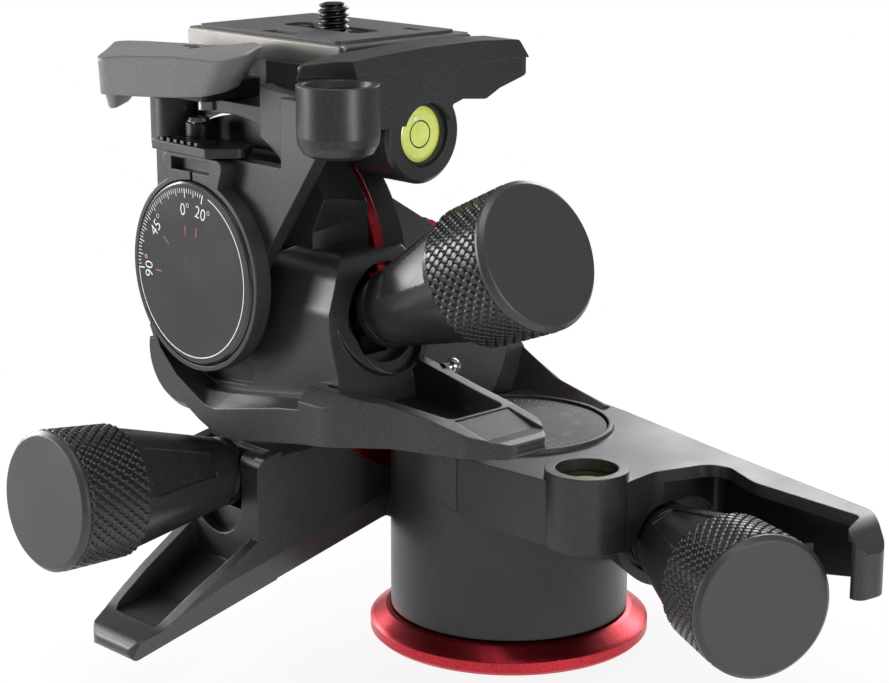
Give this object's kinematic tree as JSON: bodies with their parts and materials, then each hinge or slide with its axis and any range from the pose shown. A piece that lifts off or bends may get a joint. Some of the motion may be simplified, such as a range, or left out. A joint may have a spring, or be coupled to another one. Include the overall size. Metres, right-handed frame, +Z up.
{
  "type": "geared tripod head",
  "caption": "Geared tripod head: two tilt axes and a pan axis, each on a worm drive with a sprung release knob, under a quick-release camera plate.",
  "frame": {"origin": "centre of the base's underside, at the mouth of the tripod thread, on the pan axis", "axes": "+Z up along the pan axis, -Y towards the side with the tilt dial, +X towards the side with the upper knob"},
  "size_m": [0.1569, 0.1289, 0.1356],
  "materials": {
    "red_anodised": "anodised satin",
    "steel": "satin",
    "alloy": "satin",
    "bronze": "satin",
    "body_polymer": "fine speckled satin",
    "scale_polymer": "matt",
    "dial_gloss": "gloss",
    "knob_polymer": "smooth satin",
    "cap_polymer": "satin",
    "grip_rubber": "knurled",
    "bezel": "satin",
    "vial_fluid": "clear",
    "plate_alloy": "satin",
    "pad_rubber": "fine texture",
    "lever_paint": "fine texture",
    "black_steel": "blackened"
  },
  "bodies": {
    "base": {"base_ring": "red_anodised", "thread_insert": "steel", "pan_column": "alloy", "pan_dial": "scale_polymer", "pan_worm_wheel": "bronze", "column_screw": "steel"},
    "pan_body": {"pan_upper_housing": "body_polymer", "pan_lower_housing": "body_polymer", "column_bush": "bronze", "deck_level_bezel": "bezel", "deck_level_vial": "vial_fluid", "side_cover": "body_polymer", "side_ring": "red_anodised", "pan_pivot_pin": "steel", "side_pivot_pin": "steel", "pan_leaf_spring": "steel", "side_leaf_spring": "steel"},
    "pan_arm": {"pan_swing_arm": "alloy"},
    "pan_knob": {"pan_worm": "steel", "pan_knob_body": "knob_polymer", "pan_knob_grip": "grip_rubber", "pan_knob_cap": "cap_polymer"},
    "side_arm": {"side_swing_arm": "alloy"},
    "side_knob": {"side_worm": "steel", "side_knob_body": "knob_polymer", "side_knob_grip": "grip_rubber", "side_knob_cap": "cap_polymer"},
    "middle_body": {"middle_housing": "body_polymer", "side_shaft": "steel", "side_worm_wheel": "bronze", "front_ring": "red_anodised", "rear_drum": "body_polymer", "front_shaft": "steel", "front_dial": "dial_gloss", "front_pivot_pin": "steel", "front_leaf_spring": "steel"},
    "front_arm": {"front_swing_arm": "alloy"},
    "front_knob": {"front_worm": "steel", "front_knob_body": "knob_polymer", "front_knob_grip": "grip_rubber", "front_knob_cap": "cap_polymer"},
    "top_body": {"top_housing": "body_polymer", "index_ring": "body_polymer", "front_worm_wheel": "bronze", "right_jaw": "body_polymer", "side_level_bezel": "bezel", "side_level_vial": "vial_fluid", "cup_level_vial": "vial_fluid", "lever_screw": "steel", "catch_pin": "steel", "qr_plate": "plate_alloy", "plate_pad": "pad_rubber"},
    "clamp_lever": {"qr_lever": "lever_paint", "lever_cam": "body_polymer"},
    "thumb_catch": {"thumb_catch": "body_polymer"},
    "camera_screw": {"camera_screw": "black_steel"}
  },
  "joints": [
    {"name": "pan", "type": "hinge", "parent": "base", "child": "pan_body", "pos_m": [0, 0, 0], "axis": [0, 0, 1], "continuous": true},
    {"name": "side_tilt", "type": "hinge", "parent": "pan_body", "child": "middle_body", "pos_m": [0, -0.0075, 0.0602], "axis": [-1, 0, 0], "range_deg": [-6, 90]},
    {"name": "front_tilt", "type": "hinge", "parent": "middle_body", "child": "top_body", "pos_m": [-0.024, 0, 0.084], "axis": [0, -1, 0], "range_deg": [-20, 90]},
    {"name": "pan_release", "type": "hinge", "parent": "pan_body", "child": "pan_arm", "pos_m": [-0.00685, 0.0242, 0.0295], "axis": [0, 0, 1], "range_deg": [0, 4.3], "stiffness_Nm_per_rad": 6, "springref_deg": -2.86},
    {"name": "side_release", "type": "hinge", "parent": "pan_body", "child": "side_arm", "pos_m": [-0.035, 0.00669, 0.03375], "axis": [1, 0, 0], "range_deg": [0, 4.5], "stiffness_Nm_per_rad": 6, "springref_deg": -2.86},
    {"name": "front_release", "type": "hinge", "parent": "middle_body", "child": "front_arm", "pos_m": [-0.03173, -0.043, 0.06127], "axis": [0, 1, 0], "range_deg": [0, 4.5], "stiffness_Nm_per_rad": 6, "springref_deg": -2.86},
    {"name": "pan_knob_turn", "type": "hinge", "parent": "pan_arm", "child": "pan_knob", "pos_m": [0.0078, 0.01776, 0.0295], "axis": [0.9157, -0.4019, 0], "continuous": true},
    {"name": "side_knob_turn", "type": "hinge", "parent": "side_arm", "child": "side_knob", "pos_m": [-0.035, -0.00927, 0.03486], "axis": [0, -0.9976, 0.0698], "range_deg": [-5040, 336]},
    {"name": "front_knob_turn", "type": "hinge", "parent": "front_arm", "child": "front_knob", "pos_m": [-0.01701, -0.043, 0.06752], "axis": [0.9205, 0, 0.3907], "range_deg": [-3240, 720]},
    {"name": "clamp_lever_turn", "type": "hinge", "parent": "top_body", "child": "clamp_lever", "pos_m": [-0.0315, -0.054, 0], "axis": [0, 0, -1], "range_deg": [0, 25]},
    {"name": "thumb_catch_turn", "type": "hinge", "parent": "top_body", "child": "thumb_catch", "pos_m": [-0.03, -0.0578, 0], "axis": [0, 0, -1], "range_deg": [0, 8], "stiffness_Nm_per_rad": 0.02, "springref_deg": -5.73},
    {"name": "camera_screw_turn", "type": "hinge", "parent": "top_body", "child": "camera_screw", "pos_m": [-0.0205, -0.0305, 0], "axis": [0, 0, 1], "continuous": true}
  ],
  "couplings": [
    {"joint": "pan_knob_turn", "follows": "pan", "ratio": -40},
    {"joint": "side_knob_turn", "follows": "side_tilt", "ratio": -56},
    {"joint": "front_knob_turn", "follows": "front_tilt", "ratio": -36}
  ]
}
